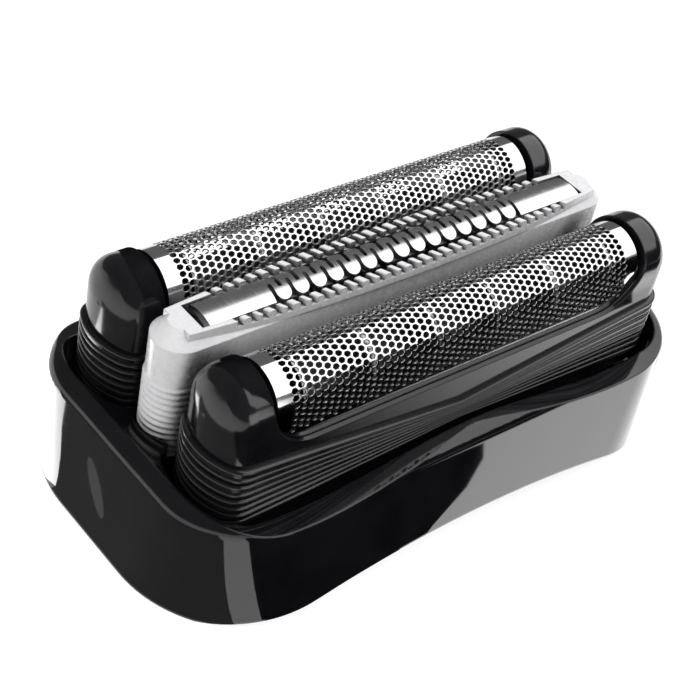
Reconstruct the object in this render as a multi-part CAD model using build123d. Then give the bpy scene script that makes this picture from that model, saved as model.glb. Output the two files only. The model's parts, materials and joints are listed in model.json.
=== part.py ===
from build123d import *
from math import cos, radians, sin
import os

# Shaver foil head: X runs along the foils, Y across them, Z up from the sole. Millimetres.
FOIL_LENGTH = 40.0
FOIL_R = 3.2
FOIL_TOP_Z = 21.3
FLOAT_TRAVEL = 2.0
CUTTER_STROKE = 1.2
LEDGE_Z = 5.4

# Clearances
SHEET_GAP = 0.05
SEAT_GAP = 0.1
FLOAT_GAP = 0.2
GUIDE_GAP = 0.3
UNIT_GAP = 0.45
BAY_END_GAP = 1.2
BAY_SIDE_GAP = 1.2
OVERCUT = 1.0

# Foil
FOIL_T = 0.15
FOIL_SKIRT = 3.9
FOIL_ARCH_Z = FOIL_TOP_Z - FOIL_R
HOLE_R = 0.9
HOLE_PITCH = 4.2
HOLE_MARGIN = 1.8
HOLE_COLUMNS = int((FOIL_LENGTH - 2 * HOLE_MARGIN) / HOLE_PITCH)
HOLE_ROWS = 3
ROW_ANGLE = 36.0

# Foil carrier: a capsule with domed ends and a saddle that shows the foil
CARRIER_WALL = 0.45
CARRIER_R = FOIL_R + SHEET_GAP + CARRIER_WALL
CARRIER_ARCH_Z = FOIL_ARCH_Z - 0.2
CARRIER_BASE_Z = LEDGE_Z + FLOAT_TRAVEL + FLOAT_GAP
CARRIER_END = 4.5
CARRIER_HALF_L = FOIL_LENGTH / 2 + CARRIER_END
DOME_CORNER = 1.8
DOME_TURN = 60.0
RIM_GROOVE = 0.6
SADDLE_DEPTH = 6.1
SADDLE_Z = FOIL_TOP_Z - SADDLE_DEPTH
SADDLE_CORNER = 4.6
CAVITY_HALF_L = FOIL_LENGTH / 2 + GUIDE_GAP

# Grip ribs on the carriers: a fan, wide at both ends and close together in the middle
RIB_COUNT = 4
RIB_STEP_END = 1.6
RIB_STEP_MID = 0.48
RIB_DROP_END = 0.7
RIB_DROP_MID = 3.2
RIB_SHARE = 0.31
RIB_PROUD = 0.35

# Retainer that the foil is wrapped on, inside the carrier
RETAINER_R = FOIL_R - FOIL_T - SHEET_GAP
RETAINER_LIFT = 1.0
RETAINER_BASE_Z = CARRIER_BASE_Z + RETAINER_LIFT
RETAINER_DROP = 1.8
RETAINER_WALL = 0.5
RETAINER_END = 0.8
BRIDGE_T = 0.9
BRIDGE_LENGTH = 3.0
BRIDGE_INSET = 5.0
BRIDGE_X = FOIL_LENGTH / 2 - BRIDGE_INSET

# Cutter: lamellae on a holder with a drive socket
LAMELLA_R = FOIL_R - FOIL_T - GUIDE_GAP
LAMELLA_T = 0.45
LAMELLA_PITCH = 6.8
LAMELLA_DROP = 0.4
LAMELLA_FLAT_Z = FOIL_ARCH_Z - LAMELLA_DROP
CUTTER_HALF_L = FOIL_LENGTH / 2 - RETAINER_END - CUTTER_STROKE - GUIDE_GAP
HOLDER_SIDE_GAP = 0.6
HOLDER_HALF_W = RETAINER_R - RETAINER_WALL - HOLDER_SIDE_GAP
HOLDER_T = 2.4
SOCKET_HALF_L = 3.2
SOCKET_WALL = 0.7
SOCKET_DROP = 3.2

# Middle trimmer: hull with two bowed comb rails on either side of a recess
TRIMMER_HALF_W = 2.4
TRIMMER_END = 4.3
TRIMMER_HALF_L = FOIL_LENGTH / 2 + TRIMMER_END
TRIMMER_SUNK = 0.4
TRIMMER_TOP_Z = FOIL_TOP_Z - TRIMMER_SUNK
TRIMMER_BASE_Z = RETAINER_BASE_Z
TRIMMER_BEVEL = 1.3
GUNWALE_END = 2.4
GUNWALE_HALF_L = FOIL_LENGTH / 2 + GUNWALE_END
GUNWALE_TAPER = 0.65
GUNWALE_BOW = 0.4
GUNWALE_END_W = TRIMMER_HALF_W - GUNWALE_TAPER
GUNWALE_MID_W = TRIMMER_HALF_W + GUNWALE_BOW
GUNWALE_DEPTH = 1.3
RAIL_END_W = 0.25
RAIL_MID_W = 0.85
RECESS_END = 1.0
RECESS_HALF_L = FOIL_LENGTH / 2 + RECESS_END
RECESS_END_W = GUNWALE_END_W - RAIL_END_W
RECESS_MID_W = GUNWALE_MID_W - RAIL_MID_W
RECESS_DEPTH = 2.7
COMB_PITCH = 2.3
COMB_SLOT_W = 1.65
COMB_SLOT_DEPTH = 0.6
COMB_SLANT = 28.0
COMB_MARGIN = 2.9

# Comb plate, moving blade and slider of the trimmer
PLATE_T = 0.3
PLATE_SEAT = 1.4
PLATE_HALF_L = RECESS_HALF_L - GUIDE_GAP
PLATE_HALF_W = RECESS_END_W - SEAT_GAP
PLATE_END = 7.3
TONGUE_PITCH = 1.58
TONGUE_COUNT = int(2 * (PLATE_HALF_L - PLATE_END) / TONGUE_PITCH)
TONGUE_SLOT_W = 0.42
TONGUE_SLANT = 18.0
SLOT_PAST_MIDDLE = 0.5
BLADE_T = 0.35
BLADE_HALF_L = TONGUE_COUNT * TONGUE_PITCH / 2 + CUTTER_STROKE
BLADE_HALF_W = PLATE_HALF_W - SEAT_GAP
BLADE_TOP_Z = TRIMMER_TOP_Z - PLATE_T - SEAT_GAP
BLADE_NOTCH_W = 0.7
BLADE_NOTCH_DEPTH = 0.7
BLADE_PITCH = 2.5
SLIDER_HALF_L = 9.0
SLIDER_HALF_W = 1.0
SLIDER_H = 3.8
SLIDER_WALL = 0.4

# Chassis that closes the frame below and guides the floating units on pegs
CHASSIS_T = 1.2
WINDOW_MARGIN = 0.8
PEG_HALF = 0.9
PEG_X = (CAVITY_HALF_L + CARRIER_HALF_L) / 2
PEG_HEAD_ROOM = 0.8
BORE_DEPTH = 7.0
TRIM_PEG_HALF = 0.8
TRIM_PEG_X = TRIMMER_HALF_L - TRIMMER_HALF_W
TRIM_BORE_DEPTH = 5.2

# Bent leaf springs under the floating units
SPRING_T = 0.2
SPRING_W = 1.8
SPRING_HALF_L = 4.0
SPRING_CROWN_HALF = 0.8
SPRING_GAP = 0.02

# Outer frame: a leaning skirt with a rounded shoulder, outside the bays for the floating units
FOIL_OFFSET_Y = GUNWALE_MID_W + UNIT_GAP + RIB_PROUD + CARRIER_R
BAY_HALF_L = CARRIER_HALF_L + RIB_PROUD + BAY_END_GAP
BAY_HALF_W = CARRIER_R + RIB_PROUD + BAY_SIDE_GAP
BAY_SIDE_Y = FOIL_OFFSET_Y + BAY_HALF_W
SKIRT_END = 2.4
SKIRT_SIDE = 3.75
SOLE_HALF_L = BAY_HALF_L + SKIRT_END
SOLE_HALF_W = BAY_SIDE_Y + SKIRT_SIDE
SOLE_CORNER = 11.8
END_LEAN = 1.0
SIDE_LEAN = 2.1
CROWN_CORNER = 7.0
CROWN_Z = 11.2
SHOULDER_R = 1.5
SOLE_ARCH = 3.0
SOLE_FOOT = 2.5
RIM_DIP_X = 19.0
RIM_DIP_Z = 9.6
WALL = 2.2
LEDGE = 0.9
ATTIC_Z = 8.8


def skirt_plan(inset=0.0):
    """Rounded-rectangle plan of the frame's sole, brought in on all sides by the inset."""
    length = 2 * (SOLE_HALF_L - inset)
    return RectangleRounded(length, 2 * (SOLE_HALF_W - inset), SOLE_CORNER - inset)


def capsule_edge(half_length, half_width, corner):
    """Half outline of a capsule, from tip to tip: straight side, tight corners, gently rounded tips."""
    turn = radians(DOME_TURN)
    tip_r = corner + (half_width - corner) / cos(turn)
    tip_x = half_length - tip_r
    bend = (tip_x + tip_r * sin(turn), tip_r * cos(turn))
    side_x = bend[0] - corner * sin(turn)
    half_turn = turn / 2
    knee = (side_x + corner * sin(half_turn), half_width - corner * (1 - cos(half_turn)))
    tip_turn = (turn + radians(90)) / 2
    tip_mid = (tip_x + tip_r * sin(tip_turn), tip_r * cos(tip_turn))
    right = ThreePointArc((side_x, half_width), knee, bend)
    right_tip = ThreePointArc(bend, tip_mid, (half_length, 0))
    left_half = [mirror(edge, Plane.YZ) for edge in (right, right_tip)]
    return Line((-side_x, half_width), (side_x, half_width)) + [right, right_tip] + left_half


def capsule(half_length, half_width, corner, z_low, z_high):
    """Upright prism with a capsule plan between two heights."""
    half = capsule_edge(half_length, half_width, corner)
    outline = make_face(half.edges() + mirror(half, Plane.XZ).edges())
    return Pos(0, 0, z_low) * extrude(outline, z_high - z_low)


def block(half_x, half_y, z_low, z_high, x=0.0, y=0.0):
    """Plain block between two heights."""
    return Pos(x, y, (z_low + z_high) / 2) * Box(2 * half_x, 2 * half_y, z_high - z_low)


def along_x(section, half_length):
    """Section drawn in Y and Z, drawn out to both sides along X."""
    return extrude(Plane.YZ * section, half_length, both=True)


def along_y(outline, half_width):
    """Outline drawn in X and Z, drawn out to both sides along Y."""
    return extrude(Plane.XZ * outline, half_width, both=True)


def arch(radius, centre_z, base_z):
    """Section of a round arch on straight sides."""
    sides = Polyline((-radius, centre_z), (-radius, base_z), (radius, base_z), (radius, centre_z))
    crown = ThreePointArc((radius, centre_z), (0, centre_z + radius), (-radius, centre_z))
    return make_face(sides + crown)


def boat(half_length, end_width, mid_width):
    """Plan with bowed sides, widest in the middle."""
    front = ThreePointArc((-half_length, -end_width), (0, -mid_width), (half_length, -end_width))
    right = Line((half_length, -end_width), (half_length, end_width))
    back = ThreePointArc((half_length, end_width), (0, mid_width), (-half_length, end_width))
    left = Line((-half_length, end_width), (-half_length, -end_width))
    return make_face(front + right + back + left)


def make_openings():
    """Through opening in the frame, the union of one bay for each floating unit."""
    top = CROWN_Z + OVERCUT
    foil_bay = capsule(BAY_HALF_L, BAY_HALF_W, DOME_CORNER + RIB_PROUD + BAY_END_GAP, -OVERCUT, top)
    slot = SlotOverall(2 * (TRIMMER_HALF_L + GUIDE_GAP), 2 * (TRIMMER_HALF_W + GUIDE_GAP))
    trimmer_bay = Pos(0, 0, -OVERCUT) * extrude(slot, top + OVERCUT)
    return trimmer_bay + [Pos(0, side * FOIL_OFFSET_Y, 0) * foil_bay for side in (-1, 1)]


def make_skirt():
    """Outer skirt that leans in more at the sides than at the ends, with a rounded shoulder."""
    crown_l = 2 * (SOLE_HALF_L - END_LEAN)
    crown_w = 2 * (SOLE_HALF_W - SIDE_LEAN)
    crown = Pos(0, 0, CROWN_Z) * RectangleRounded(crown_l, crown_w, CROWN_CORNER)
    body = loft([skirt_plan(), crown], ruled=True)
    return fillet(body.faces().sort_by(Axis.Z)[-1].edges(), SHOULDER_R)


def make_frame():
    """Glossy skirt with an arched sole, a rounded shoulder, a waved rim and scalloped openings."""
    body = make_skirt()
    cellar = Pos(0, 0, -OVERCUT) * extrude(skirt_plan(WALL), LEDGE_Z + OVERCUT)
    attic = Pos(0, 0, -OVERCUT) * extrude(skirt_plan(WALL + LEDGE), ATTIC_Z + OVERCUT)
    foot_x = SOLE_HALF_L - SOLE_FOOT
    sole_r = (foot_x ** 2 + SOLE_ARCH ** 2) / (2 * SOLE_ARCH)
    sole = Pos(0, 0, SOLE_ARCH - sole_r) * Rot(90, 0, 0) * Cylinder(sole_r, 4 * SOLE_HALF_W)
    top = CROWN_Z + OVERCUT
    left_wave = [(-SOLE_HALF_L, top), (-RIM_DIP_X, RIM_DIP_Z)]
    right_wave = [(RIM_DIP_X, RIM_DIP_Z), (SOLE_HALF_L, top)]
    wave = Spline(*left_wave, (0, CROWN_Z), *right_wave)
    above_rim = along_y(make_face(wave + Line(right_wave[1], left_wave[0])), 2 * SOLE_HALF_W)
    return body - cellar - attic - sole - above_rim - make_openings()


def make_chassis():
    """Plate under the ledge with drive windows and guide pegs."""
    plate = Pos(0, 0, LEDGE_Z - CHASSIS_T) * extrude(skirt_plan(WALL + SEAT_GAP), CHASSIS_T)
    window_x = SOCKET_HALF_L + CUTTER_STROKE + WINDOW_MARGIN
    plate -= block(window_x, SLIDER_HALF_W + WINDOW_MARGIN, 0, 2 * LEDGE_Z)
    peg_top = CARRIER_BASE_Z + BORE_DEPTH - FLOAT_TRAVEL - PEG_HEAD_ROOM
    trim_peg_top = TRIMMER_BASE_Z + TRIM_BORE_DEPTH - FLOAT_TRAVEL - PEG_HEAD_ROOM
    for end in (-1, 1):
        plate += block(TRIM_PEG_HALF, TRIM_PEG_HALF, LEDGE_Z, trim_peg_top, end * TRIM_PEG_X)
    for side in (-1, 1):
        y = side * FOIL_OFFSET_Y
        plate -= block(window_x, HOLDER_HALF_W + WINDOW_MARGIN, 0, 2 * LEDGE_Z, 0, y)
        for end in (-1, 1):
            plate += block(PEG_HALF, PEG_HALF, LEDGE_Z, peg_top, end * PEG_X, y)
    return plate


def make_ribs():
    """Fan of grip ribs, cut from a prism that stands proud of the carrier."""
    half_x = CARRIER_HALF_L + RIB_PROUD
    half_y = CARRIER_R + RIB_PROUD
    prism = capsule(half_x, half_y, DOME_CORNER + RIB_PROUD, CARRIER_BASE_Z, SADDLE_Z)
    end_t = RIB_SHARE * RIB_STEP_END / 2
    mid_t = RIB_SHARE * RIB_STEP_MID / 2
    fan = []
    for rib in range(RIB_COUNT):
        end_z = SADDLE_Z - RIB_DROP_END - rib * RIB_STEP_END
        mid_z = SADDLE_Z - RIB_DROP_MID - rib * RIB_STEP_MID
        outline = Polyline((-half_x, end_z - end_t), (0, mid_z - mid_t), (half_x, end_z - end_t),
                           (half_x, end_z + end_t), (0, mid_z + mid_t), (-half_x, end_z + end_t), close=True)
        fan.append(along_y(make_face(outline), half_y) & prism)
    return fan


def make_carrier():
    """Floating carrier: a capsule with domed ends, cut by the saddle that shows the foil."""
    half = capsule_edge(CARRIER_HALF_L, CARRIER_R, DOME_CORNER)
    axis_line = Line((-CARRIER_HALF_L, 0), (CARRIER_HALF_L, 0))
    roof = Pos(0, 0, CARRIER_ARCH_Z) * revolve(make_face(half.edges() + axis_line.edges()), Axis.X, 180)
    carrier = capsule(CARRIER_HALF_L, CARRIER_R, DOME_CORNER, CARRIER_BASE_Z, CARRIER_ARCH_Z) + roof
    carrier += make_ribs()
    saddle_h = 2 * SADDLE_DEPTH
    saddle = Rectangle(2 * (FOIL_LENGTH / 2 + RIM_GROOVE), saddle_h)
    saddle = fillet(saddle.vertices().group_by(Axis.Y)[0], SADDLE_CORNER)
    carrier -= along_y(Pos(0, SADDLE_Z + saddle_h / 2) * saddle, 2 * CARRIER_R)
    cavity = arch(FOIL_R + SHEET_GAP, FOIL_ARCH_Z, CARRIER_BASE_Z - OVERCUT)
    carrier -= along_x(cavity, CAVITY_HALF_L)
    bore_half = PEG_HALF + GUIDE_GAP
    for end in (-1, 1):
        carrier -= block(bore_half, bore_half, 0, CARRIER_BASE_Z + BORE_DEPTH, end * PEG_X)
    return carrier


def make_foil():
    """Arched sheet with staggered rows of six-sided perforations."""
    outer = arch(FOIL_R, FOIL_ARCH_Z, FOIL_ARCH_Z - FOIL_SKIRT)
    inner = arch(FOIL_R - FOIL_T, FOIL_ARCH_Z, FOIL_ARCH_Z - FOIL_SKIRT - OVERCUT)
    foil = along_x(outer - inner, FOIL_LENGTH / 2)
    for row in range(HOLE_ROWS):
        spots = GridLocations(HOLE_PITCH, 0, HOLE_COLUMNS - row % 2, 1)
        holes = Sketch() + [spot * RegularPolygon(HOLE_R, 6) for spot in spots]
        punch = Pos(0, 0, FOIL_R - 2 * FOIL_T) * extrude(holes, 4 * FOIL_T)
        turn = (row - (HOLE_ROWS - 1) / 2) * ROW_ANGLE
        foil -= Pos(0, 0, FOIL_ARCH_Z) * Rot(turn, 0, 0) * punch
    return foil


def make_retainer():
    """Inner frame that the foil is wrapped on, with arched ends and two spring bridges."""
    half_l = FOIL_LENGTH / 2
    retainer = along_x(arch(RETAINER_R, FOIL_ARCH_Z, RETAINER_BASE_Z), half_l)
    inner_l = half_l - RETAINER_END
    retainer -= block(inner_l, RETAINER_R - RETAINER_WALL, 0, 2 * FOIL_TOP_Z)
    retainer -= block(inner_l, FOIL_R, FOIL_ARCH_Z - RETAINER_DROP, 2 * FOIL_TOP_Z)
    bridge_top = RETAINER_BASE_Z + BRIDGE_T
    for end in (-1, 1):
        retainer += block(BRIDGE_LENGTH / 2, RETAINER_R, RETAINER_BASE_Z, bridge_top, end * BRIDGE_X)
    return retainer


def make_lamellae():
    """Row of thin half-round blades under the foil."""
    below = Pos(0, -LAMELLA_DROP - LAMELLA_R) * Rectangle(4 * LAMELLA_R, 2 * LAMELLA_R)
    disc = Pos(0, FOIL_ARCH_Z) * (Circle(LAMELLA_R) - below)
    blade = along_x(disc, LAMELLA_T / 2)
    count = int((2 * CUTTER_HALF_L - LAMELLA_T) / LAMELLA_PITCH) + 1
    return Compound(children=[spot * blade for spot in GridLocations(LAMELLA_PITCH, 0, count, 1)])


def make_holder():
    """Bar that carries the lamellae, with the socket for the drive pin below."""
    bar_z = LAMELLA_FLAT_Z - HOLDER_T
    foot_z = bar_z - SOCKET_DROP
    bar = block(CUTTER_HALF_L, HOLDER_HALF_W, bar_z, LAMELLA_FLAT_Z)
    bar += block(SOCKET_HALF_L, HOLDER_HALF_W, foot_z, bar_z)
    return bar - block(SOCKET_HALF_L - SOCKET_WALL, HOLDER_HALF_W - SOCKET_WALL, foot_z - OVERCUT, bar_z)


def make_spring(top_z):
    """Leaf spring bent up from the chassis to the piece that it lifts."""
    low = LEDGE_Z + SPRING_GAP
    high = top_z - SPRING_GAP
    foot = SPRING_HALF_L - 2 * SPRING_T
    crown = SPRING_CROWN_HALF
    strip = Polyline((-SPRING_HALF_L, low), (-crown, high), (crown, high), (SPRING_HALF_L, low), (foot, low),
                     (crown - SPRING_T, high - SPRING_T), (SPRING_T - crown, high - SPRING_T), (-foot, low),
                     close=True)
    return along_y(make_face(strip), SPRING_W / 2)


def make_comb_slots():
    """Slanted slots that leave the comb teeth on both rails."""
    count = int(2 * (GUNWALE_HALF_L - COMB_MARGIN) / COMB_PITCH)
    end_y = (RECESS_END_W + GUNWALE_END_W) / 2
    mid_y = (RECESS_MID_W + GUNWALE_MID_W) / 2
    length = (RAIL_MID_W + OVERCUT) / cos(radians(COMB_SLANT))
    tool = Rot(0, 0, COMB_SLANT) * Box(COMB_SLOT_W, length, 2 * COMB_SLOT_DEPTH)
    slots = []
    for spot in GridLocations(COMB_PITCH, 0, count, 1):
        x = spot.position.X
        y = mid_y - (mid_y - end_y) * (x / GUNWALE_HALF_L) ** 2
        slots += [Pos(x, side * y, TRIMMER_TOP_Z) * tool for side in (-1, 1)]
    return slots


def make_trimmer_carrier():
    """Pale hull with bevelled ends, two comb rails and the recess for the blades."""
    outline = SlotOverall(2 * TRIMMER_HALF_L, 2 * TRIMMER_HALF_W)
    hull = Pos(0, 0, TRIMMER_BASE_Z) * extrude(outline, TRIMMER_TOP_Z - TRIMMER_BASE_Z)
    hull = chamfer(hull.faces().sort_by(Axis.Z)[-1].edges(), TRIMMER_BEVEL)
    gunwale = extrude(boat(GUNWALE_HALF_L, GUNWALE_END_W, GUNWALE_MID_W), GUNWALE_DEPTH)
    hull += Pos(0, 0, TRIMMER_TOP_Z - GUNWALE_DEPTH) * gunwale
    recess = boat(RECESS_HALF_L, RECESS_END_W, RECESS_MID_W)
    hull -= Pos(0, 0, TRIMMER_TOP_Z - PLATE_T - SHEET_GAP) * extrude(recess, OVERCUT)
    deep = boat(RECESS_HALF_L - PLATE_SEAT, RECESS_END_W, RECESS_MID_W)
    hull -= Pos(0, 0, TRIMMER_TOP_Z - RECESS_DEPTH) * extrude(deep, RECESS_DEPTH + OVERCUT)
    well_l = SLIDER_HALF_L + CUTTER_STROKE + GUIDE_GAP
    hull -= block(well_l, SLIDER_HALF_W + GUIDE_GAP, 0, TRIMMER_TOP_Z)
    hull -= make_comb_slots()
    bore_half = TRIM_PEG_HALF + GUIDE_GAP
    for end in (-1, 1):
        hull -= block(bore_half, bore_half, 0, TRIMMER_BASE_Z + TRIM_BORE_DEPTH, end * TRIM_PEG_X)
    return hull


def make_comb_plate():
    """Steel plate cut into a row of slanted tongues by slots from either edge in turn."""
    plate = Rectangle(2 * PLATE_HALF_L, 2 * PLATE_HALF_W)
    reach = PLATE_HALF_W + OVERCUT
    slot = Pos(0, (reach - SLOT_PAST_MIDDLE) / 2) * Rectangle(TONGUE_SLOT_W, reach + SLOT_PAST_MIDDLE)
    for side, count in ((-1, TONGUE_COUNT), (1, TONGUE_COUNT - 1)):
        turn = TONGUE_SLANT + (180 if side < 0 else 0)
        plate -= [spot * Rot(0, 0, turn) * slot for spot in GridLocations(TONGUE_PITCH, 0, count, 1)]
    return Pos(0, 0, TRIMMER_TOP_Z - PLATE_T) * extrude(plate, PLATE_T)


def make_blade():
    """Moving blade with teeth along both edges, under the comb plate."""
    blade = Rectangle(2 * BLADE_HALF_L, 2 * BLADE_HALF_W)
    count = int(2 * BLADE_HALF_L / BLADE_PITCH)
    for spot in GridLocations(BLADE_PITCH, 2 * BLADE_HALF_W, count, 2):
        blade -= spot * Rectangle(BLADE_NOTCH_W, 2 * BLADE_NOTCH_DEPTH)
    return Pos(0, 0, BLADE_TOP_Z - BLADE_T) * extrude(blade, BLADE_T)


def make_slider():
    """Slider that moves the trimmer blade, with a socket for the drive pin below."""
    top = BLADE_TOP_Z - BLADE_T
    base = top - SLIDER_H
    foot_z = base - SOCKET_DROP
    slider = block(SLIDER_HALF_L, SLIDER_HALF_W, base, top)
    slider += block(SOCKET_HALF_L, SLIDER_HALF_W, foot_z, base)
    return slider - block(SOCKET_HALF_L - SOCKET_WALL, SLIDER_HALF_W - SLIDER_WALL, foot_z - OVERCUT, base)


foil_unit = {
    "foil_carrier": make_carrier(),
    "foil": make_foil(),
    "foil_retainer": make_retainer(),
    "cutter_blades": make_lamellae(),
    "cutter_holder": make_holder(),
    "float_spring_left": Pos(-BRIDGE_X, 0, 0) * make_spring(RETAINER_BASE_Z),
    "float_spring_right": Pos(BRIDGE_X, 0, 0) * make_spring(RETAINER_BASE_Z),
}
trimmer_unit = {
    "trimmer_carrier": make_trimmer_carrier(),
    "trimmer_comb_plate": make_comb_plate(),
    "trimmer_blade": make_blade(),
    "trimmer_slider": make_slider(),
    "trimmer_float_spring_left": Pos(-BRIDGE_X, 0, 0) * make_spring(TRIMMER_BASE_Z),
    "trimmer_float_spring_right": Pos(BRIDGE_X, 0, 0) * make_spring(TRIMMER_BASE_Z),
}
parts = {"outer_frame": make_frame(), "inner_chassis": make_chassis()}
parts.update(trimmer_unit)
for side_name, side_y in (("front", -FOIL_OFFSET_Y), ("rear", FOIL_OFFSET_Y)):
    for name, shape in foil_unit.items():
        parts[side_name + "_" + name] = Pos(0, side_y, 0) * shape

os.makedirs("parts", exist_ok=True)
for name, shape in parts.items():
    export_step(shape, "parts/" + name + ".step")
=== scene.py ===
import json
import math

import bpy
import numpy as np
from mathutils import Matrix, Vector


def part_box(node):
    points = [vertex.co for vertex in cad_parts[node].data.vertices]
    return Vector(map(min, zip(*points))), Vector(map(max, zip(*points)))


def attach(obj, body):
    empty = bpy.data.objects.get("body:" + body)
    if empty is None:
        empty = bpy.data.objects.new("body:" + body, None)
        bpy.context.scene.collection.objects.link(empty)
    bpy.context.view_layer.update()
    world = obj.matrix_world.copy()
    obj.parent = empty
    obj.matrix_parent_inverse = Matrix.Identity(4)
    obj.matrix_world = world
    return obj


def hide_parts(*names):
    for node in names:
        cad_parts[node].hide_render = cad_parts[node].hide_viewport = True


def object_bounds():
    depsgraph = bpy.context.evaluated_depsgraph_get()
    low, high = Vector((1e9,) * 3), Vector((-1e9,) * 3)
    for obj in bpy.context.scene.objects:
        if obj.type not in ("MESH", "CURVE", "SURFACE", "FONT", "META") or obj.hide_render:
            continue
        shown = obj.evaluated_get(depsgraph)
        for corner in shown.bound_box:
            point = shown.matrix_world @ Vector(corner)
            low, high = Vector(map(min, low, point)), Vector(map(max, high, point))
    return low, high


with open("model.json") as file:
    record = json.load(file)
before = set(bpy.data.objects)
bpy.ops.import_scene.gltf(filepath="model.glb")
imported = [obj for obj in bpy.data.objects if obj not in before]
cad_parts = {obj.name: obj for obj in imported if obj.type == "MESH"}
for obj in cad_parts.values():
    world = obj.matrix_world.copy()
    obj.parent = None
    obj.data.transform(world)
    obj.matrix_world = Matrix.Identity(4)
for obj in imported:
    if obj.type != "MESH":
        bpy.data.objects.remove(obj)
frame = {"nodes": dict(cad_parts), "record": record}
nodes = frame["nodes"]
cad_low, cad_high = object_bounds()

MM = 0.001
SIDES = ("front", "rear")

# Foil perforation
FOIL_T = 0.15 * MM
END_BAND = 1.4 * MM
HOLE_COLUMNS = 53
HOLE_ROWS = 23
HOLE_PITCH = 0.6 * MM
HOLE_HALF = (0.315 * MM, 0.26 * MM)
HOLE_BEVEL = 0.02 * MM
HOLE_HEX = 0.05
HOLE_SIDES = 6
HOLE_POINTS = 12
BAND_STEPS = 6 * HOLE_ROWS
# Depth of the sheet's outer and inner face, and the way each one looks
FOIL_FACES = ((0.0, 1), (FOIL_T, -1))

# Carrier grip ribs: round beads over the ribs of the solid and between them
RIB_PROUD = 0.35 * MM
RIB_ROOT = 0.1 * MM
RIB_CREST = 0.1 * MM
RIB_FULL = 1.3
RIB_ARC = 12
RIB_CORNER = 2.15 * MM
RIB_TURN = math.radians(60)
RIB_TOP_END = 6.9 * MM
RIB_TOP_MID = 9.4 * MM
RIB_STEP_END = 1.6 * MM
RIB_STEP_MID = 0.48 * MM
RIB_SHARE = 0.31
RIB_PLACES = (0, 0.5, 1, 1.5, 2, 2.5, 3, 3.5)
RIB_LOOP_STEPS = 16

# Fine ribs round the trimmer's ends
TRIM_HALF_W = 2.4 * MM
TRIM_RIB_TOP = 5.0 * MM
TRIM_RIB_PITCH = 0.62 * MM
TRIM_RIBS = 11
TRIM_RIB_PROUD = 0.16 * MM
TRIM_RIB_SUNK = 0.02 * MM
TRIM_RIB_REACH = 1.0 * MM
TRIM_RIB_POWER = 0.8
TRIM_REACH_STEPS = 5
TRIM_TURN_STEPS = 40
TRIM_WAVE_STEPS = 10

# Trimmer's comb teeth, between those of the solid; rail edges are half widths at the ends and the middle
COMB_PITCH = 2.3 * MM
COMB_COUNT = 16
COMB_TOOTH_W = 0.62 * MM
COMB_TOOTH_H = 0.6 * MM
COMB_SLANT = math.radians(28)
RAIL_HALF_L = 22.4 * MM
RAIL_INNER = (1.5 * MM, 1.95 * MM)
RAIL_OUTER = (1.75 * MM, 2.8 * MM)
# Section of a tooth, in half widths to the side and heights down from the top
TOOTH_PROFILE = ((-1, 1), (-1, 0.2), (-0.8, 0), (0.8, 0), (1, 0.2), (1, 1))

# Trimmer's arched comb plate: slots from both edges leave round lobes
PLATE_T = 0.2 * MM
PLATE_HALF_W = 1.45 * MM
PLATE_CREST = 0.15 * MM
PLATE_SAG = 0.3 * MM
PLATE_LEAN = 0.16
LOBE_COUNT = 15
LOBE_SPAN = 13.4 * MM
SLOT_HALF = 0.19 * MM
FRONT_SLOT_END = 0.5 * MM
REAR_SLOT_END = -0.2 * MM
FRONT_ROUND = 0.7 * MM
REAR_ROUND = 0.45 * MM
PLATE_ROWS = 13
SLOT_STEPS = 9
LOBE_STEPS = 14
PLATE_END_STEPS = 3
TOLERANCE = 1e-9
NOT_ZERO = 1e-12

# Floor, world and the cards' common values
FLOOR_HALF = 30.0
FLOOR_GLOW = 0.85
FLOOR_FAINT = 0.3
FLOOR_PAPER = 0.8
WORLD_STRENGTH = 0.15
CARD_RISE = 0.2 * MM
ONLY_IN_REFLECTIONS = ("visible_camera", "visible_diffuse", "visible_transmission", "visible_shadow")

# Cards, in millimetres: the line where the front wall's dark half ends, and a slim oval on the left
FRONT_BOUNDARY = [(-6.6, -12), (-6.6, -17.2), (-1, -20), (6, -23), (11, -26), (13.5, -28.5), (13, -32),
                  (10, -36)]
GLEAM_CENTRE = np.array([-32.1, 4.8])
GLEAM_LONG = np.array([-1.7, 3.6])
GLEAM_WIDE = np.array([-0.35, -0.3])
GLEAM_RISE = 0.4
GLEAM_POINTS = 32

# Soft boxes: place and target from the object's middle, size, brightness, and whether gloss shows them
SOFT_BOXES = (
    ("right_box", (0.22, -0.17, 0.3), (0.0, -0.17, 0.0), (0.7, 0.42), 2.2, True),
    ("left_fill", (-0.35, -0.1, 0.2), (0.0, 0.0, 0.0), (0.4, 0.4), 2.0, False),
    ("top_fill", (0.0, 0.0, 0.4), (0.0, 0.0, 0.0), (0.5, 0.5), 1.2, False),
)

# Photograph's camera, in pixels of the 700 pixel image and millimetres from the arch centre
IMAGE = 700
SENSOR = 36.0
CLIP_START = 0.01
FOCAL_PX = 1637.75
CAM_AZIMUTH = math.radians(-47.09)
CAM_ELEVATION = math.radians(39.47)
CAM_ROLL = math.radians(13.0)
CAM_DISTANCE = 139.157 * MM
CAM_SLIDE = (3.5425 * MM, 6.9927 * MM)
CAM_CENTRE = Vector((0, 0, 18.4 * MM))


def add_mesh(name, verts, faces, material, body, normals=None):
    """New piece from points and faces that rides on a body."""
    mesh = bpy.data.meshes.new(name)
    mesh.from_pydata([tuple(v) for v in verts], [], faces)
    mesh.polygons.foreach_set("use_smooth", [True] * len(mesh.polygons))
    mesh.update()
    if normals is not None:
        mesh.normals_split_custom_set(normals)
    piece = bpy.data.objects.new(name, mesh)
    bpy.context.scene.collection.objects.link(piece)
    mesh.materials.append(material)
    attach(piece, body)
    return piece


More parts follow.
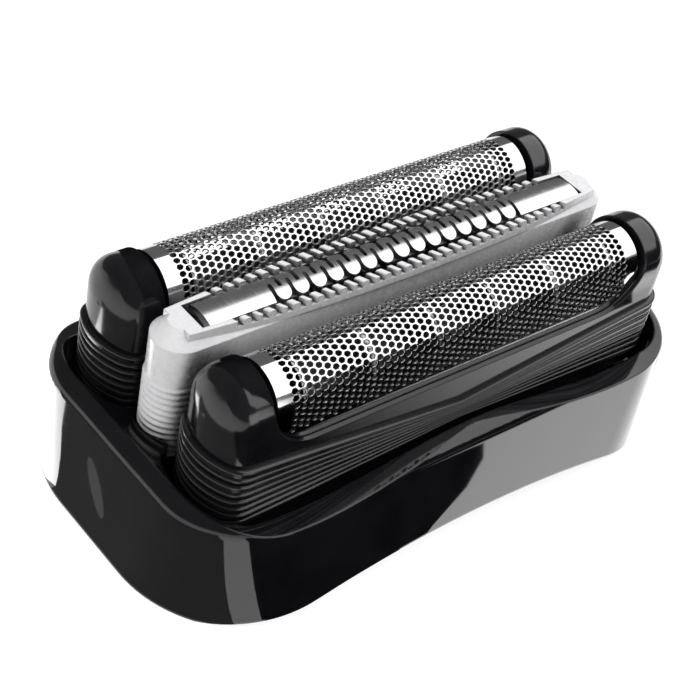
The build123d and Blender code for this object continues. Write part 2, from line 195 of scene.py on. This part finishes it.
def new_material(name, color, roughness, metallic=0.0):
    """Principled material, its node tree and its shader node."""
    material = bpy.data.materials.new(name)
    material.use_nodes = True
    shader = material.node_tree.nodes["Principled BSDF"]
    shader.inputs["Base Color"].default_value = (*color, 1.0)
    shader.inputs["Roughness"].default_value = roughness
    shader.inputs["Metallic"].default_value = metallic
    return material, material.node_tree, shader


def noise(tree, scale, detail=3.0, stretch=(1, 1, 1)):
    """Noise in the object's own coordinates, per metre, stretched along the axes."""
    coords = tree.nodes.new("ShaderNodeTexCoord")
    mapping = tree.nodes.new("ShaderNodeMapping")
    mapping.inputs["Scale"].default_value = stretch
    texture = tree.nodes.new("ShaderNodeTexNoise")
    texture.inputs["Scale"].default_value = scale
    texture.inputs["Detail"].default_value = detail
    tree.links.new(coords.outputs["Object"], mapping.inputs["Vector"])
    tree.links.new(mapping.outputs["Vector"], texture.inputs["Vector"])
    return texture.outputs["Fac"]


def spread(tree, value, low, high):
    """Maps a noise value onto a range."""
    ramp = tree.nodes.new("ShaderNodeMapRange")
    ramp.inputs["From Min"].default_value = 0.3
    ramp.inputs["From Max"].default_value = 0.7
    ramp.inputs["To Min"].default_value = low
    ramp.inputs["To Max"].default_value = high
    tree.links.new(value, ramp.inputs["Value"])
    return ramp.outputs["Result"]


def tint(tree, shader, value, dark, light):
    """Base colour that varies between two tones: close ones for random variation, or dark and light ones
    where it paints shade.
    """
    ramp = tree.nodes.new("ShaderNodeValToRGB")
    ramp.color_ramp.elements[0].color = (*dark, 1.0)
    ramp.color_ramp.elements[0].position = 0.3
    ramp.color_ramp.elements[1].color = (*light, 1.0)
    ramp.color_ramp.elements[1].position = 0.7
    tree.links.new(value, ramp.inputs["Fac"])
    tree.links.new(ramp.outputs["Color"], shader.inputs["Base Color"])


def relief(tree, shader, value, distance, strength, edge=0.0):
    """Fine bump from a noise value, over edges that catch the light as if rounded."""
    bump = tree.nodes.new("ShaderNodeBump")
    if edge:
        bevel = tree.nodes.new("ShaderNodeBevel")
        bevel.samples = 6
        bevel.inputs["Radius"].default_value = edge
        tree.links.new(bevel.outputs["Normal"], bump.inputs["Normal"])
    bump.inputs["Distance"].default_value = distance
    bump.inputs["Strength"].default_value = strength
    tree.links.new(value, bump.inputs["Height"])
    tree.links.new(bump.outputs["Normal"], shader.inputs["Normal"])


def gloss_black():
    """Polished black plastic of the outer frame."""
    material, tree, shader = new_material("gloss_black", (0.004, 0.004, 0.005), 0.05)
    tint(tree, shader, noise(tree, 300), (0.003, 0.003, 0.004), (0.006, 0.006, 0.007))
    rough = spread(tree, noise(tree, 120, 5.0), 0.035, 0.075)
    tree.links.new(rough, shader.inputs["Roughness"])
    relief(tree, shader, noise(tree, 60, 2.0), 0.00002, 0.05, 0.25 * MM)
    return material


def carrier_black():
    """Satin black plastic of the foil carriers."""
    material, tree, shader = new_material("carrier_black", (0.005, 0.005, 0.006), 0.12)
    tint(tree, shader, noise(tree, 500), (0.004, 0.004, 0.005), (0.007, 0.007, 0.008))
    rough = spread(tree, noise(tree, 2500, 4.0), 0.1, 0.16)
    tree.links.new(rough, shader.inputs["Roughness"])
    relief(tree, shader, noise(tree, 6000, 2.0), 0.00001, 0.06, 0.22 * MM)
    return material


def steel(name, tone, rough_low, rough_high, stretch):
    """Bright steel with a fine grain that runs along one axis."""
    color = (tone, tone, tone * 1.01)
    material, tree, shader = new_material(name, color, rough_low, 1.0)
    grain = noise(tree, 4000, 3.0, stretch)
    darker = (tone * 0.9, tone * 0.9, tone * 0.91)
    tint(tree, shader, noise(tree, 400, 4.0, stretch), darker, color)
    tree.links.new(spread(tree, grain, rough_low, rough_high), shader.inputs["Roughness"])
    relief(tree, shader, grain, 0.000004, 0.15)
    return material


def pale_plastic():
    """Pale plastic of the trimmer's hull, with painted shade that darkens it in hollows and gaps."""
    material, tree, shader = new_material("pale_plastic", (0.62, 0.62, 0.63), 0.3)
    # Painted shade: ambient occlusion turns the base colour nearly black in hollows, slots and gaps between
    # teeth
    painted_nook_shade = tree.nodes.new("ShaderNodeAmbientOcclusion")
    painted_nook_shade.samples = 6
    painted_nook_shade.inputs["Distance"].default_value = 2.5 * MM
    unshaded_share = spread(tree, painted_nook_shade.outputs["AO"], -0.35, 0.75)
    tint(tree, shader, unshaded_share, (0.03, 0.03, 0.032), (0.64, 0.64, 0.65))
    tree.links.new(spread(tree, noise(tree, 1800), 0.22, 0.34), shader.inputs["Roughness"])
    relief(tree, shader, noise(tree, 7000, 2.0), 0.00001, 0.12, 0.16 * MM)
    return material


def inner_plastic():
    """Dull black plastic inside the head."""
    material, tree, shader = new_material("inner_plastic", (0.006, 0.006, 0.007), 0.5)
    tint(tree, shader, noise(tree, 600), (0.005, 0.005, 0.006), (0.009, 0.009, 0.01))
    tree.links.new(spread(tree, noise(tree, 3000), 0.42, 0.6), shader.inputs["Roughness"])
    relief(tree, shader, noise(tree, 5000), 0.00002, 0.3)
    return material


ALONG_X = (0.04, 1.0, 1.0)
ALONG_Y = (1.0, 0.04, 1.0)
materials = {
    "gloss_black": gloss_black(),
    "carrier_black": carrier_black(),
    "foil_steel": steel("foil_steel", 0.66, 0.07, 0.13, ALONG_X),
    "plate_steel": steel("plate_steel", 0.64, 0.2, 0.28, ALONG_Y),
    "blade_steel": steel("blade_steel", 0.3, 0.25, 0.4, ALONG_Y),
    "spring_steel": steel("spring_steel", 0.55, 0.25, 0.4, ALONG_X),
    "pale_plastic": pale_plastic(),
    "inner_plastic": inner_plastic(),
}
for subpart in frame["record"]["subparts"]:
    node = nodes[subpart["node"]]
    node.data.materials.clear()
    node.data.materials.append(materials[subpart["material_slot"]])


class Patches:
    """Mesh gathered from grids of points, each with the normals it is shaded by."""

    def __init__(self):
        self.verts, self.faces, self.normals, self.count = [], [], [], 0

    def add(self, grid, facing):
        """Adds a grid's quads, turned to look the way its normals do."""
        rows, columns = grid.shape[:2]
        points, outs = grid.reshape(-1, 3), facing.reshape(-1, 3)
        ids = np.arange(rows * columns).reshape(rows, columns)
        quads = np.stack([ids[:-1, :-1], ids[:-1, 1:], ids[1:, 1:], ids[1:, :-1]], -1).reshape(-1, 4)
        first, second, third, fourth = (points[quads[:, corner]] for corner in range(4))
        across = np.cross(third - first, fourth - second)
        if (across * outs[quads].sum(1)).sum() < 0:
            quads = quads[:, ::-1]
        self.faces.extend(map(tuple, (quads + self.count).tolist()))
        self.normals.extend(outs[quads].reshape(-1, 3))
        self.verts.append(points)
        self.count += len(points)

    def result(self):
        """Points, faces and the normal of each face corner."""
        return np.vstack(self.verts), self.faces, self.normals


def foil_mesh(side):
    """Arched sheet with staggered six-sided holes, each with a rounded rim and a wall."""
    low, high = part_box(side + "_foil")
    radius = (high.y - low.y) / 2
    centre_y = (high.y + low.y) / 2
    arch_z = high.z - radius
    half_l = (high.x - low.x) / 2
    quarter = math.pi / 2 * radius
    edge_v = quarter + arch_z - low.z

    def place(x, v, depth):
        """Points and outward normals at a length along the foil, an arc length from its crown and a depth."""
        angle = np.clip(v, -quarter, quarter) / radius
        drop = np.maximum(np.abs(v) - quarter, 0)
        normal = np.stack([np.zeros_like(angle), np.sin(angle), np.cos(angle)], -1)
        point = np.stack([x, centre_y + (radius - depth) * np.sin(angle),
                          arch_z + (radius - depth) * np.cos(angle) - drop], -1)
        return point, normal

    pitch_x = 2 * (half_l - END_BAND) / HOLE_COLUMNS
    corners = [(0.5, 0), (0.5, 0.5), (0.25, 0.5), (0, 0.5), (-0.25, 0.5), (-0.5, 0.5),
               (-0.5, 0), (-0.5, -0.5), (-0.25, -0.5), (0, -0.5), (0.25, -0.5), (0.5, -0.5)]
    cell = np.array(corners) * (pitch_x, HOLE_PITCH)
    turn = np.arange(HOLE_POINTS) * 2 * math.pi / HOLE_POINTS
    hole = np.stack([np.cos(turn), np.sin(turn)], -1)
    hole *= (1 + HOLE_HEX * np.cos(HOLE_SIDES * turn))[:, None]
    edge = hole * np.array(HOLE_HALF)
    rim = hole * (np.array(HOLE_HALF) + HOLE_BEVEL)
    open_rings = ((cell, 0.0), (rim, 0.0), (edge, HOLE_BEVEL), (edge, FOIL_T), (cell, FOIL_T))
    rings = [(np.vstack([ring, ring[:1]]), depth) for ring, depth in open_rings]
    inward = -np.vstack([hole, hole[:1]])
    along = np.array([1.0, 0, 0])
    sheet = Patches()

    def add_plain(xs, vs):
        """Plain area of the sheet, outside and inside."""
        gx, gv = np.meshgrid(xs, vs)
        for depth, sign in FOIL_FACES:
            point, out = place(gx, gv, depth)
            sheet.add(point, sign * out)

    for column in range(HOLE_COLUMNS):
        odd = column % 2
        x = (column - (HOLE_COLUMNS - 1) / 2) * pitch_x
        rows = HOLE_ROWS - odd
        for row in range(rows):
            v = (row - (rows - 1) / 2) * HOLE_PITCH
            points, outs = zip(*[place(x + ring[:, 0], v + ring[:, 1], depth) for ring, depth in rings])
            out = outs[1]
            wall = inward[:, :1] * along - inward[:, 1:] * np.cross(along, out)
            rounded = out + wall
            rounded /= np.linalg.norm(rounded, axis=1)[:, None]
            sheet.add(np.stack([points[0], points[1]]), np.stack([outs[0], out]))
            sheet.add(np.stack([points[1], points[2]]), np.stack([out, rounded]))
            sheet.add(np.stack([points[2], points[3]]), np.stack([wall, wall]))
            sheet.add(np.stack([points[3], points[4]]), np.stack([-outs[3], -outs[4]]))
        if odd:
            for end in (-1, 1):
                add_plain(x + np.array([-0.5, 0.5]) * pitch_x,
                          end * (rows / 2 + np.array([0.0, 0.5])) * HOLE_PITCH)
    field_v = HOLE_ROWS / 2 * HOLE_PITCH
    for end in (-1, 1):
        add_plain(np.array([-half_l, half_l]), end * np.array([field_v, edge_v]))
    for end in (-1, 1):
        add_plain(end * np.array([half_l - END_BAND, half_l]), np.linspace(-field_v, field_v, BAND_STEPS))
    for end in (-1, 1):
        vs = np.linspace(-edge_v, edge_v, BAND_STEPS)
        gd, gv = np.meshgrid(np.array([0.0, FOIL_T]), vs)
        point, out = place(np.full_like(gv, end * half_l), gv, gd)
        sheet.add(point, np.broadcast_to(np.array([float(end), 0, 0]), point.shape))
    return sheet.result()


for side in SIDES:
    verts, faces, normals = foil_mesh(side)
    fine_foil = add_mesh(side + "_fine_foil", verts, faces, materials["foil_steel"], side + "_foil_unit",
                         normals)
    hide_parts(side + "_foil")


def capsule_loop(half_l, half_w, corner, steps):
    """Points and outward directions round a capsule outline with tight corners and gently rounded tips."""
    tip_r = corner + (half_w - corner) / math.cos(RIB_TURN)
    tip_x = half_l - tip_r
    side_x = tip_x + (tip_r - corner) * math.sin(RIB_TURN)
    points, outs = [], []
    for x in np.linspace(0, side_x, steps, endpoint=False):
        points.append((x, half_w))
        outs.append((0.0, 1.0))
    for angle in np.linspace(0, RIB_TURN, steps, endpoint=False):
        points.append((side_x + corner * math.sin(angle), half_w - corner * (1 - math.cos(angle))))
        outs.append((math.sin(angle), math.cos(angle)))
    for angle in np.linspace(RIB_TURN, math.pi / 2, steps):
        points.append((tip_x + tip_r * math.sin(angle), tip_r * math.cos(angle)))
        outs.append((math.sin(angle), math.cos(angle)))
    quarter = np.hstack([np.array(points), np.array(outs)])
    right = np.vstack([quarter, quarter[-2::-1] * (1, -1, 1, -1)])
    left = right[-2:0:-1] * (-1, 1, -1, 1)
    return np.vstack([right, left])


def rib_mesh(side, rib):
    """One grip rib: a band with rounded edges that follows the fan of the solid's ribs."""
    low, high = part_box(side + "_foil_carrier")
    half_l = (high.x - low.x) / 2
    half_w = (high.y - low.y) / 2
    centre_y = (high.y + low.y) / 2
    loop = capsule_loop(half_l, half_w, RIB_CORNER, RIB_LOOP_STEPS)
    share = np.abs(loop[:, 0]) / half_l
    end_z = high.z - RIB_TOP_END - rib * RIB_STEP_END
    mid_z = high.z - RIB_TOP_MID - rib * RIB_STEP_MID
    centre_z = mid_z + (end_z - mid_z) * share
    half_t = RIB_FULL * RIB_SHARE / 2 * (RIB_STEP_MID + (RIB_STEP_END - RIB_STEP_MID) * share)
    section = []
    for angle in np.linspace(-math.pi / 2, math.pi / 2, RIB_ARC):
        bulge = math.sqrt(math.cos(angle))
        section.append(((RIB_PROUD + RIB_ROOT + RIB_CREST) * bulge - RIB_PROUD - RIB_ROOT, math.sin(angle)))
    verts = []
    for offset, height in section:
        x = loop[:, 0] + loop[:, 2] * offset
        y = centre_y + loop[:, 1] + loop[:, 3] * offset
        verts.append(np.stack([x, y, centre_z + height * half_t], -1))
    count = len(loop)
    faces = []
    for row in range(len(section) - 1):
        for i in range(count):
            j = (i + 1) % count
            faces.append((row * count + i, (row + 1) * count + i, (row + 1) * count + j, row * count + j))
    return np.vstack(verts), faces


for side in SIDES:
    for number, rib in enumerate(RIB_PLACES):
        verts, faces = rib_mesh(side, rib)
        add_mesh(f"{side}_grip_rib_{number}", verts, faces, materials["carrier_black"], side + "_foil_unit")


def trimmer_end_ribs(end):
    """Fine waves round one end of the trimmer's hull."""
    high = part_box("trimmer_carrier")[1]
    centre_x = high.x - TRIM_HALF_W
    turns = np.linspace(0, math.pi, TRIM_TURN_STEPS + 1)
    path = [(centre_x - TRIM_RIB_REACH * (1 - s), TRIM_HALF_W, 0.0, 1.0)
            for s in np.linspace(0, 1, TRIM_REACH_STEPS, endpoint=False)]
    path += [(centre_x + TRIM_HALF_W * math.sin(t), TRIM_HALF_W * math.cos(t), math.sin(t), math.cos(t))
             for t in turns]
    path += [(x, -y, nx, -ny) for x, y, nx, ny in path[TRIM_REACH_STEPS - 1::-1]]
    path = np.array(path)
    fade = np.clip((path[:, 0] - centre_x + TRIM_RIB_REACH) / TRIM_RIB_REACH, 0, 1)
    heights = np.linspace(0, TRIM_RIBS, TRIM_RIBS * TRIM_WAVE_STEPS + 1)
    wave = 0.5 - 0.5 * np.cos(2 * math.pi * heights)
    proud = TRIM_RIB_PROUD * np.outer(wave ** TRIM_RIB_POWER, fade) - TRIM_RIB_SUNK
    z = high.z - TRIM_RIB_TOP - heights * TRIM_RIB_PITCH
    x = end * (path[None, :, 0] + proud * path[None, :, 2])
    y = path[None, :, 1] + proud * path[None, :, 3]
    verts = np.stack([x, y, np.broadcast_to(z[:, None], x.shape)], -1).reshape(-1, 3)
    columns = len(path)
    faces = []
    for r in range(len(z) - 1):
        for c in range(columns - 1):
            a = r * columns + c
            quad = (a, a + columns, a + columns + 1, a + 1)
            faces.append(quad if end < 0 else quad[::-1])
    return verts, faces


for end, end_name in ((-1, "left"), (1, "right")):
    verts, faces = trimmer_end_ribs(end)
    add_mesh("trimmer_ribs_" + end_name, verts, faces, materials["pale_plastic"], "trimmer_unit")


def rail_edge(x, edge):
    """Half width of a bowed rail's edge at a length along it."""
    end_w, mid_w = edge
    return mid_w - (mid_w - end_w) * (x / RAIL_HALF_L) ** 2


def comb_teeth(side):
    """Slanted teeth that stand in the wide slots of one comb rail."""
    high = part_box("trimmer_carrier")[1]
    half_w = COMB_TOOTH_W / 2
    count = len(TOOTH_PROFILE)
    verts, faces = [], []
    for tooth in range(COMB_COUNT):
        x = (tooth - (COMB_COUNT - 1) / 2) * COMB_PITCH
        inner, outer = rail_edge(x, RAIL_INNER), rail_edge(x, RAIL_OUTER)
        near = range(len(verts), len(verts) + count)
        far = range(len(verts) + count, len(verts) + 2 * count)
        for y in (inner, outer):
            lean = -math.tan(COMB_SLANT) * side * (y - (inner + outer) / 2)
            for dx, dz in TOOTH_PROFILE:
                verts.append((x + lean + dx * half_w, side * y, high.z - dz * COMB_TOOTH_H))
        faces += [(near[k], near[k + 1], far[k + 1], far[k]) for k in range(count - 1)]
        faces += [tuple(near), tuple(far[::-1])]
    return verts, faces


for side, side_name in ((-1, "front"), (1, "rear")):
    verts, faces = comb_teeth(side)
    teeth = add_mesh("trimmer_teeth_" + side_name, verts, faces, materials["pale_plastic"], "trimmer_unit")
    teeth.data.polygons.foreach_set("use_smooth", [False] * len(teeth.data.polygons))


def plate_mesh():
    """Arched comb plate: solid ends, and between them lobes divided by slots from the front and the rear."""
    low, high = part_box("trimmer_comb_plate")
    half_l = (high.x - low.x) / 2
    crest_z = high.z + PLATE_CREST
    arch_r = (PLATE_HALF_W ** 2 + PLATE_SAG ** 2) / (2 * PLATE_SAG)
    pitch = 2 * LOBE_SPAN / LOBE_COUNT
    lobe_half = pitch / 2 - SLOT_HALF
    fronts = [-LOBE_SPAN + k * pitch for k in range(LOBE_COUNT + 1)]
    rears = [f + pitch / 2 for f in fronts[:-1]]

    def tip(offset, depth):
        """Set-back of a lobe's round tip at an offset from the middle of the lobe."""
        return depth * (1 - np.sqrt(np.clip(1 - (offset / lobe_half) ** 2, 0, 1)))

    def slot_end(offset):
        """Set-back of a slot's round end at an offset from the middle of the slot."""
        return SLOT_HALF - np.sqrt(np.clip(SLOT_HALF ** 2 - offset ** 2, 0, None))

    def front_edge(x):
        """Front edge of the sheet under a length along the plate."""
        nearest = rears[int(np.argmin(np.abs(np.array(rears) - x.mean())))]
        inside = np.abs(x - nearest) <= lobe_half + TOLERANCE
        return -PLATE_HALF_W + np.where(inside, tip(x - nearest, FRONT_ROUND), 0)

    def rear_edge(x):
        """Rear edge of the sheet over a length along the plate."""
        nearest = fronts[int(np.argmin(np.abs(np.array(fronts) - x.mean())))]
        offset = x - nearest
        if nearest == fronts[0]:
            offset = np.maximum(offset, 0)
        if nearest == fronts[-1]:
            offset = np.minimum(offset, 0)
        return PLATE_HALF_W - tip(offset, REAR_ROUND)

    slot_x = SLOT_HALF * np.sin(np.linspace(-math.pi / 2, math.pi / 2, SLOT_STEPS))
    strips = []
    for f in fronts:
        x = f + slot_x
        strips.append((x, FRONT_SLOT_END - slot_end(x - f), rear_edge(x)))
    for r in rears:
        x = r + slot_x
        strips.append((x, front_edge(x), REAR_SLOT_END + slot_end(x - r)))
        for end in (-1, 1):
            x = r + end * np.linspace(SLOT_HALF, lobe_half, LOBE_STEPS)
            strips.append((x, front_edge(x), rear_edge(x)))
    for end in (-1, 1):
        x = end * np.linspace(LOBE_SPAN + SLOT_HALF, half_l, PLATE_END_STEPS)
        edge = np.full_like(x, PLATE_HALF_W)
        strips.append((x, -edge, edge))

    sheet = Patches()
    share = np.linspace(0, 1, PLATE_ROWS)[:, None]
    for x, front, rear in strips:
        y = front + (rear - front) * share
        rise = np.sqrt(arch_r ** 2 - y ** 2) - arch_r
        lean = PLATE_LEAN * np.clip((half_l - np.abs(x)) / (half_l - LOBE_SPAN), 0, 1)
        top = np.stack([x + lean * y, y, crest_z + rise], -1)
        under = top - np.array([0, 0, PLATE_T])
        out = np.stack([np.zeros_like(y), y / arch_r, np.sqrt(1 - (y / arch_r) ** 2)], -1)
        sheet.add(top, out)
        sheet.add(under, -out)
        middle = top.reshape(-1, 3).mean(0)
        for edge_top, edge_under in ((top[0], under[0]), (top[-1], under[-1]), (top[:, 0], under[:, 0]),
                                     (top[:, -1], under[:, -1])):
            along = np.gradient(edge_top, axis=0)
            side = np.cross(along, np.array([0, 0, 1.0]))
            side /= np.linalg.norm(side, axis=1)[:, None] + NOT_ZERO
            if ((edge_top - middle) * side).sum() < 0:
                side = -side
            sheet.add(np.stack([edge_top, edge_under]), np.stack([side, side]))
    return sheet.result()


verts, faces, normals = plate_mesh()
fine_plate = add_mesh("trimmer_fine_plate", verts, faces, materials["plate_steel"], "trimmer_unit",
                      normals)
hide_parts("trimmer_comb_plate")


def seen_or_reflected(tree):
    """One for rays that come from the camera, a gloss or a glass."""
    path = tree.nodes.new("ShaderNodeLightPath")
    total = path.outputs["Is Camera Ray"]
    for name in ("Is Glossy Ray", "Is Transmission Ray"):
        either = tree.nodes.new("ShaderNodeMath")
        either.operation = "MAXIMUM"
        tree.links.new(total, either.inputs[0])
        tree.links.new(path.outputs[name], either.inputs[1])
        total = either.outputs["Value"]
    return total


def floor_material():
    """White paper that keeps a faint shadow."""
    material = bpy.data.materials.new("floor")
    material.use_nodes = True
    tree = material.node_tree
    tree.nodes.clear()
    output = tree.nodes.new("ShaderNodeOutputMaterial")
    mix = tree.nodes.new("ShaderNodeMixShader")
    both = tree.nodes.new("ShaderNodeAddShader")
    white = tree.nodes.new("ShaderNodeEmission")
    white.inputs["Strength"].default_value = FLOOR_GLOW
    faint = tree.nodes.new("ShaderNodeBsdfDiffuse")
    faint.inputs["Color"].default_value = (FLOOR_FAINT, FLOOR_FAINT, FLOOR_FAINT, 1.0)
    paper = tree.nodes.new("ShaderNodeBsdfDiffuse")
    paper.inputs["Color"].default_value = (FLOOR_PAPER, FLOOR_PAPER, FLOOR_PAPER, 1.0)
    tree.links.new(white.outputs["Emission"], both.inputs[0])
    tree.links.new(faint.outputs["BSDF"], both.inputs[1])
    tree.links.new(seen_or_reflected(tree), mix.inputs["Fac"])
    tree.links.new(paper.outputs["BSDF"], mix.inputs[1])
    tree.links.new(both.outputs["Shader"], mix.inputs[2])
    tree.links.new(mix.outputs["Shader"], output.inputs["Surface"])
    return material


def glow_material(name, strength, fade=0.0):
    """Light of one strength that may fade in over a share of the card's length; none makes a black card."""
    material = bpy.data.materials.new(name)
    material.use_nodes = True
    tree = material.node_tree
    tree.nodes.clear()
    output = tree.nodes.new("ShaderNodeOutputMaterial")
    glow = tree.nodes.new("ShaderNodeEmission")
    glow.inputs["Strength"].default_value = strength
    if fade:
        place = tree.nodes.new("ShaderNodeTexCoord")
        along = tree.nodes.new("ShaderNodeSeparateXYZ")
        ramp = tree.nodes.new("ShaderNodeMapRange")
        ramp.inputs["From Max"].default_value = fade
        ramp.inputs["To Max"].default_value = strength
        tree.links.new(place.outputs["Generated"], along.inputs["Vector"])
        tree.links.new(along.outputs["X"], ramp.inputs["Value"])
        tree.links.new(ramp.outputs["Result"], glow.inputs["Strength"])
    sides = tree.nodes.new("ShaderNodeNewGeometry")
    clear = tree.nodes.new("ShaderNodeBsdfTransparent")
    mix = tree.nodes.new("ShaderNodeMixShader")
    tree.links.new(sides.outputs["Backfacing"], mix.inputs["Fac"])
    tree.links.new(glow.outputs["Emission"], mix.inputs[1])
    tree.links.new(clear.outputs["BSDF"], mix.inputs[2])
    tree.links.new(mix.outputs["Shader"], output.inputs["Surface"])
    return material


def stage_sheet(name, corners, material):
    """Flat sheet of the studio."""
    mesh = bpy.data.meshes.new(name)
    mesh.from_pydata([tuple(c) for c in corners], [], [tuple(range(len(corners)))])
    mesh.materials.append(material)
    sheet = bpy.data.objects.new(name, mesh)
    bpy.context.scene.collection.objects.link(sheet)
    return sheet


def card(name, corners_mm, strength, fade=0.0):
    """Studio card that shows in reflections only, and from the side its corners run round to the left.

    Corners with two numbers lie on the floor.
    """
    corners = []
    for corner in corners_mm:
        height = corner[2] * MM if len(corner) > 2 else cad_low.z + CARD_RISE
        corners.append((corner[0] * MM, corner[1] * MM, height))
    sheet = stage_sheet(name, corners, glow_material(name, strength, fade))
    for flag in ONLY_IN_REFLECTIONS:
        setattr(sheet, flag, False)
    return sheet


def gleam_corners():
    """Corners of the slim oval."""
    turns = np.linspace(0, 2 * math.pi, GLEAM_POINTS, endpoint=False)
    return [(*(GLEAM_CENTRE + math.cos(t) * GLEAM_LONG + math.sin(t) * GLEAM_WIDE), GLEAM_RISE)
            for t in turns]


square = ((-1, -1), (1, -1), (1, 1), (-1, 1))
stage_sheet("floor", [(x * FLOOR_HALF, y * FLOOR_HALF, cad_low.z) for x, y in square], floor_material())

# Cards set where the glossy surfaces show the photograph's light and dark areas to the camera
card("front_black", [(-18, -12), (-22, -16), (-36, -44), (0, -100), (120, -100), (120, -36)]
     + FRONT_BOUNDARY[::-1], 0.0)
card("front_glow", FRONT_BOUNDARY + [(120, -36), (120, -12)], 3.4)
card("corner_glow", [(-18, -12), (-20, -11.4), (-25, -15), (-46, -30), (-36, -44), (-22, -16)], 1.8)
card("left_black", [(-20, 4), (-28.8, 6.3), (-41, 22.5), (-50, 30), (-50, -33), (-46, -30), (-25, -15),
                    (-20, -11.4)], 0.2)
card("left_glow", [(-50, -60), (-50, 90), (-120, 120), (-120, -60)], 1.4)
card("left_gleam", gleam_corners(), 0.6)
card("rear_left_glow", [(-28.8, 6.3), (-22, 16.5), (-18, 24), (-41, 22.5)], 6.5)
card("front_box", [(60, -140, 4), (-45, -140, 4), (-45, -140, 62), (60, -140, 62)], 3.0)
card("right_flag", [(420, -60, 0), (62, -140, 0), (62, -140, 62), (420, -60, 62)], 0.0)
card("dome_flag", [(-20.2, 12, 18), (-20.2, -11.3, 18), (-20.2, -11.3, 45), (-20.2, 12, 45)], 0.0)
card("gap_glow", [(-14, -15, 11.3), (60, -15, 11.3), (60, -11.6, 11.3), (-14, -11.6, 11.3)], 2.2, 0.45)
card("lip_shade", [(-30, -60, 14.6), (73, -60, 14.6), (21, -11.5, 14.6), (-30, -11.5, 14.6)], 0.0)

world = bpy.data.worlds.new("studio")
bpy.context.scene.world = world
world.use_nodes = True
world.node_tree.nodes["Background"].inputs["Color"].default_value = (1.0, 1.0, 1.0, 1.0)
world.node_tree.nodes["Background"].inputs["Strength"].default_value = WORLD_STRENGTH


def soft_box(name, place, target, size, radiance, in_gloss):
    """Area light at a place, turned to a target, of an even brightness."""
    data = bpy.data.lights.new(name, "AREA")
    data.shape = "RECTANGLE"
    data.size, data.size_y = size
    data.energy = math.pi * size[0] * size[1] * radiance
    light = bpy.data.objects.new(name, data)
    light.location = place
    light.rotation_euler = (target - place).to_track_quat("-Z", "Y").to_euler()
    light.visible_glossy = in_gloss
    bpy.context.scene.collection.objects.link(light)


centre = (cad_low + cad_high) / 2
for name, place, target, size, radiance, in_gloss in SOFT_BOXES:
    soft_box(name, centre + Vector(place), centre + Vector(target), size, radiance, in_gloss)

# Camera at the photograph's angle
back = Vector((math.sin(CAM_AZIMUTH) * math.cos(CAM_ELEVATION),
               -math.cos(CAM_AZIMUTH) * math.cos(CAM_ELEVATION),
               math.sin(CAM_ELEVATION)))
level = Vector((math.cos(CAM_AZIMUTH), math.sin(CAM_AZIMUTH), 0.0))
raised = back.cross(level)
right = math.cos(CAM_ROLL) * level + math.sin(CAM_ROLL) * raised
up = math.cos(CAM_ROLL) * raised - math.sin(CAM_ROLL) * level
eye = CAM_CENTRE - CAM_SLIDE[0] * right - CAM_SLIDE[1] * up + CAM_DISTANCE * back
camera_data = bpy.data.cameras.new("camera")
camera_data.sensor_width = SENSOR
camera_data.lens = FOCAL_PX / IMAGE * SENSOR
camera_data.clip_start = CLIP_START
camera = bpy.data.objects.new("camera", camera_data)
camera.matrix_world = Matrix((right, up, back)).transposed().to_4x4()
camera.location = eye
bpy.context.scene.collection.objects.link(camera)
bpy.context.scene.camera = camera
bpy.context.scene.view_settings.view_transform = "Standard"
